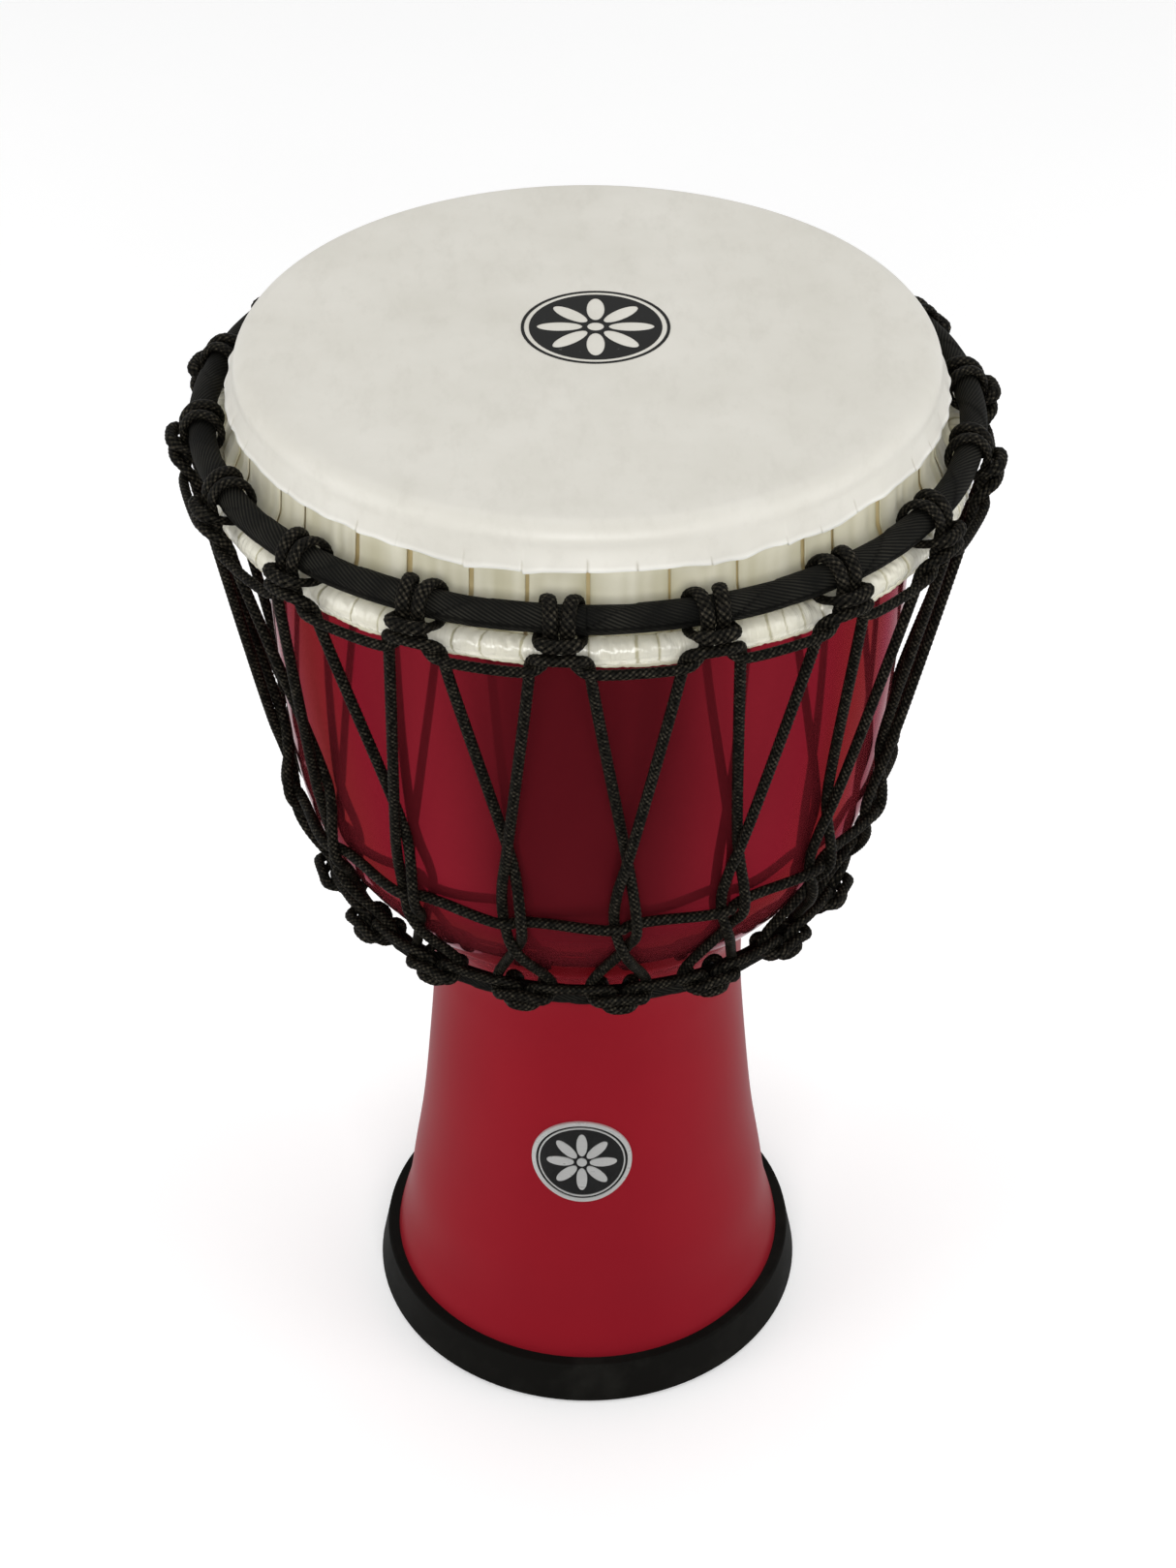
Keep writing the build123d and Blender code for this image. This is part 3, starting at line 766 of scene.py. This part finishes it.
def loop_frames(line):
    """Tangents and normals that turn as little as possible, and that meet at the end of the loop."""
    tangent = np.roll(line, -1, axis=0) - np.roll(line, 1, axis=0)
    tangent /= np.linalg.norm(tangent, axis=1, keepdims=True)
    normal = np.empty_like(line)
    start = np.cross(tangent[0], [0.0, 0.0, 1.0])
    normal[0] = start / np.linalg.norm(start)
    for index in range(1, len(line)):
        turned = normal[index - 1] - tangent[index] * (normal[index - 1] @ tangent[index])
        normal[index] = turned / np.linalg.norm(turned)
    last = normal[-1] - tangent[0] * (normal[-1] @ tangent[0])
    last /= np.linalg.norm(last)
    twist = math.atan2(np.cross(last, normal[0]) @ tangent[0], last @ normal[0])
    angle = twist * np.arange(len(line)) / len(line)
    side = np.cross(tangent, normal)
    normal = normal * np.cos(angle)[:, None] + side * np.sin(angle)[:, None]
    return tangent, normal, np.cross(tangent, normal)


def braid(along, turn):
    """Height of a diamond braid, 0 to 1: two sets of strands that pass over and under each other."""
    a = CARRIERS * turn / FULL_TURN + along
    b = CARRIERS * turn / FULL_TURN - along
    over = 1 - 2 * ((np.floor(a) + np.floor(b)) % 2)
    rise_a = np.abs(np.sin(np.pi * a)) ** 0.7
    rise_b = np.abs(np.sin(np.pi * b)) ** 0.7
    return np.maximum(rise_a * (0.62 + 0.38 * over * rise_b), rise_b * (0.62 - 0.38 * over * rise_a))


def near_ring(line, ring, reach, slack, first_knot):
    """Width and thickness of the rope as shares of its size, and the direction away from its ring."""
    angle = np.arctan2(line[:, 0], -line[:, 1]) - first_knot
    aside = np.abs((angle + PITCH / 2) % PITCH - PITCH / 2) * ring[0]
    radius = np.hypot(line[:, 0], line[:, 1])
    out = np.stack([line[:, 0] / radius, line[:, 1] / radius, np.zeros(len(line))], axis=1)
    across = radius - ring[0]
    up = line[:, 2] - ring[1]
    distance = np.hypot(across, up)
    away = out * (across / distance)[:, None]
    away[:, 2] = up / distance
    pull = np.clip((reach - distance) / PULL_FADE, 0, 1)
    pull = pull * pull * (3 - 2 * pull)
    width = 1 + (FLAT_WIDTH - 1) * pull
    width = 1 + (width - 1) * np.interp(aside, KNOT_SIDE, [1.0, 0.0])
    full = np.interp(distance, LOOP_SPAN, [FLAT_THICKNESS, slack])
    return width, 1 + (full - 1) * pull, away


def rope(name, unit, first_knot, size, pieces, material, node, ring=None, reach=0.0, slack=1.0):
    """Braided rope along its corners, cut into pieces so that no mesh is too large."""
    line = smooth_loop(corner_loop(unit, first_knot), CELL / CELL_STEPS)
    tangent, normal, side = loop_frames(line)
    around = CARRIERS * CELL_STEPS
    turn = np.arange(around) / around * FULL_TURN
    along = np.arange(len(line)) / CELL_STEPS
    relief = braid(along[:, None], turn[None, :])
    radius = size * (1 - RELIEF + RELIEF * relief)
    offset = normal[:, None] * np.cos(turn)[None, :, None] + side[:, None] * np.sin(turn)[None, :, None]
    offset = offset * radius[..., None]
    centre = line[:, None].copy()
    if ring:
        width, thickness, away = near_ring(line, ring, reach, slack, first_knot)
        away -= tangent * np.sum(away * tangent, axis=1, keepdims=True)
        away /= np.linalg.norm(away, axis=1, keepdims=True)
        across = np.cross(tangent, away)
        flat = (offset * away[:, None]).sum(axis=2) * (thickness - 1)[:, None]
        wide = (offset * across[:, None]).sum(axis=2) * (width - 1)[:, None]
        offset = offset + flat[..., None] * away[:, None] + wide[..., None] * across[:, None]
        centre -= (away * (size * np.clip(1 - thickness, 0, 1))[:, None])[:, None]
    grid = centre + offset
    bounds = np.linspace(0, len(line), pieces + 1).astype(int)
    for number, (low, high) in enumerate(zip(bounds, bounds[1:]), start=1):
        index = np.arange(low, high + 1) % len(line)
        part = grid[index]
        rows = len(part)
        faces = grid_faces(rows, around, wrap_columns=True)[:, ::-1]
        if pieces == 1:
            faces = grid_faces(rows - 1, around, True, True)[:, ::-1]
            part, index = part[:-1], index[:-1]
        piece_name = name if pieces == 1 else f"{name}_{number}"
        piece = new_object(piece_name, part.reshape(-1, 3), faces, values={"relief": relief[index].ravel()})
        finish_piece(piece, material, [node] if number == 1 else ())
    return line


def hitch_unit(half, ring):
    right = [(0, along, ring[0] + out, ring[1] + up) for along, out, up in half]
    left = [(0, -along, r, z) for _, along, r, z in right[:0:-1]]
    return left + right


def tension_unit():
    left, right = -PITCH / 2, PITCH / 2
    corners = [(left, along, r, z) for along, r, z in BOTTOM_ARCH + FRONT_STRAND]
    corners += [(0, -along, r, z) for along, r, z in TOP_ARCH]
    corners += [(0, along, r, z) for along, r, z in reversed(TOP_ARCH)]
    corners += [(right, along, r, z) for along, r, z in REAR_STRAND]
    corners += [(right, -along, r, z) for along, r, z in reversed(BOTTOM_ARCH)]
    return corners


def whipping(name, line, node, rope_size, material, length=WHIPPING_LENGTH):
    """Twine wound tightly round the rope at the CAD whipping."""
    low, high = (np.array(corner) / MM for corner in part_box(node))
    middle = (low + high) / 2
    nearest = int(np.argmin(np.linalg.norm(line - middle, axis=1)))
    half = length / 2 - 0.15
    turns = int(2 * half / TWINE_SPACING)
    step = np.linalg.norm(line[nearest] - line[nearest - 1])
    reach = int(half / step)
    path = line[np.arange(nearest - reach, nearest + reach + 1) % len(line)]
    samples = turns * 24
    share = np.linspace(0, 1, samples)
    place = share * (len(path) - 1)
    centre = np.stack([np.interp(place, np.arange(len(path)), path[:, axis]) for axis in range(3)], axis=1)
    tangent = np.gradient(centre, axis=0)
    tangent /= np.linalg.norm(tangent, axis=1, keepdims=True)
    normal = np.cross(tangent, [0.3, 0.2, 0.9])
    normal /= np.linalg.norm(normal, axis=1, keepdims=True)
    side = np.cross(tangent, normal)
    spin = share * turns * FULL_TURN
    outward = normal * np.cos(spin)[:, None] + side * np.sin(spin)[:, None]
    core = centre + outward * (rope_size + TWINE * 0.6)
    ring = np.arange(8) / 8 * FULL_TURN
    grid = core[:, None] + TWINE * (outward[:, None] * np.cos(ring)[None, :, None]
                                    + tangent[:, None] * np.sin(ring)[None, :, None])
    coil = new_object(name, grid.reshape(-1, 3), grid_faces(samples, 8, wrap_columns=True))
    finish_piece(coil, material, [node])


# ======================================================================================
# floor, light and camera
# ======================================================================================

def area_light(name, place, target, size, power):
    data = bpy.data.lights.new(name, "AREA")
    data.shape = "RECTANGLE"
    data.size, data.size_y = size
    data.energy = power
    light = bpy.data.objects.new(name, data)
    light.location = place
    light.rotation_euler = (Vector(target) - Vector(place)).to_track_quat("-Z", "Y").to_euler()
    bpy.context.scene.collection.objects.link(light)
    return light


def studio_world():
    """Pale room that is darker in front of the drum, where the camera stands, and low down."""
    world = bpy.data.worlds.new("studio_world")
    world.use_nodes = True
    tree = world.node_tree
    background = tree.nodes["Background"]
    background.inputs["Color"].default_value = (1, 1, 1, 1)

    def maths(operation, *values):
        node = tree.nodes.new("ShaderNodeMath")
        node.operation = operation
        for value, socket in zip(values, node.inputs):
            if isinstance(value, float):
                socket.default_value = value
            else:
                tree.links.new(value, socket)
        return node.outputs[0]

    def ramp(value, low, high, to_low, to_high):
        node = tree.nodes.new("ShaderNodeMapRange")
        node.interpolation_type = "SMOOTHSTEP"
        tree.links.new(value, node.inputs["Value"])
        for socket, number in zip(node.inputs[1:5], (low, high, to_low, to_high)):
            socket.default_value = number
        return node.outputs[0]

    axes = tree.nodes.new("ShaderNodeSeparateXYZ")
    tree.links.new(tree.nodes.new("ShaderNodeTexCoord").outputs["Generated"], axes.inputs[0])
    across, deep, upward = axes.outputs
    frontness = maths("SUBTRACT", 0.0, maths("MULTIPLY_ADD", maths("ABSOLUTE", across), 0.9, deep))
    dark = ramp(frontness, -0.25, 0.45, 0.0, 1.0)
    darkest = ramp(upward, -0.80, -0.66, 0.055, 0.03)
    lit = maths("MULTIPLY", maths("SUBTRACT", 1.0, dark), 0.8)
    room = maths("MULTIPLY_ADD", dark, darkest, lit)
    room = maths("MULTIPLY", room, ramp(upward, -1.0, -0.72, 0.25, 1.0))
    to_camera = tree.nodes.new("ShaderNodeLightPath").outputs["Is Camera Ray"]
    tree.links.new(maths("MAXIMUM", to_camera, room), background.inputs["Strength"])
    bpy.context.scene.world = world


def studio():
    bpy.ops.mesh.primitive_plane_add(size=6.0, location=(0, 0, -0.0004))
    floor = bpy.context.object
    floor.name = "studio_floor"
    floor.visible_glossy = False
    n = Nodes("floor_white", Roughness=0.9, Emission_Strength=0.2, Emission_Color=(1, 1, 1, 1))
    n.set("Base Color", n.mix(n.noise(3.0), colour(0.88, 0.88, 0.88), colour(0.92, 0.92, 0.92)))
    floor.data.materials.append(n.material)
    studio_world()
    middle = (0, 0, 0.2)
    area_light("left_softbox", (-1.5, -0.5, 0.75), middle, (0.7, 1.5), 6)
    area_light("right_softbox", (1.5, -0.4, 0.75), middle, (0.7, 1.5), 6)
    area_light("top_softbox", (0, 0.4, 1.6), middle, (1.2, 0.9), 3)
    area_light("front_softbox", (0, -1.5, 0.95), middle, (1.2, 0.6), 14.5)
    bpy.context.scene.view_settings.view_transform = "Standard"


def camera():
    data = bpy.data.cameras.new("camera")
    data.sensor_width = 36.0
    data.sensor_fit = "AUTO"
    data.lens = CAMERA_LENS
    data.shift_x = CAMERA_SHIFT
    view = bpy.data.objects.new("camera", data)
    view.location = CAMERA_PLACE
    view.rotation_euler = (math.pi / 2 - CAMERA_PITCH, 0, 0)
    bpy.context.scene.collection.objects.link(view)
    bpy.context.scene.camera = view


# ======================================================================================
# the drum
# ======================================================================================

def dress_cad_nodes():
    """Materials for the CAD nodes whose shape is already right."""
    metal = metal_material()
    steel = steel_material()
    shells = {
        "foot_ring": rubber_material(),
        "head_print": ink_material(),
        "badge_plate": metal,
        "badge_emblem": metal,
        "badge_inlay": enamel_material(),
        "flesh_hoop": steel,
        "crown_ring": steel,
        "lower_ring": steel,
    }
    for node, material in shells.items():
        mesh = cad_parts[node].data
        mesh.materials.clear()
        mesh.materials.append(material)


camera()
studio()
dress_cad_nodes()
bowl(shell_material("bowl_lacquer"))
stem(shell_material("stem_lacquer"))
playing_head(head_material())
head_collar(collar_material(), glue_material())
hoop_wrap(wrap_material())
tape = tape_material()
tape_ring("crown_ring_cloth", CROWN_RING, CROWN_TAPE, CROWN_TAPE_LAP, 51, tape, "crown_ring_tape")
tape_ring("lower_ring_cloth", LOWER_RING, LOWER_TAPE, LOWER_TAPE_LAP, 52, tape, "lower_ring_tape")
rope_black = rope_material()
upper_line = rope("upper_hitch_braid", hitch_unit(UPPER_HITCH, CROWN_RING), TOP_KNOT, HITCH_ROPE, 2,
                  rope_black, "upper_hitch_rope", CROWN_RING, UPPER_REACH, SLACK_THICKNESS)
lower_line = rope("lower_hitch_braid", hitch_unit(LOWER_HITCH, LOWER_RING), BOTTOM_KNOT, HITCH_ROPE, 2,
                  rope_black, "lower_hitch_rope", LOWER_RING, LOWER_REACH)
tension_line = rope("tension_braid", tension_unit(), TOP_KNOT, TENSION_ROPE, 5, rope_black, "tension_rope")
weave_line = rope("weave_braid", [(0, *corner) for corner in WEAVE], BOTTOM_KNOT, WEAVE_ROPE, 1,
                  rope_black, "weave_rope")
twine = twine_material()
whipping("upper_rope_binding", upper_line, "upper_rope_whipping", HITCH_ROPE, twine)
whipping("lower_rope_binding", lower_line, "lower_rope_whipping", HITCH_ROPE, twine, LOWER_WHIPPING_LENGTH)
whipping("tension_rope_binding", tension_line, "tension_rope_whipping", TENSION_ROPE, twine)
whipping("weave_rope_binding", weave_line, "weave_rope_whipping", WEAVE_ROPE, twine)
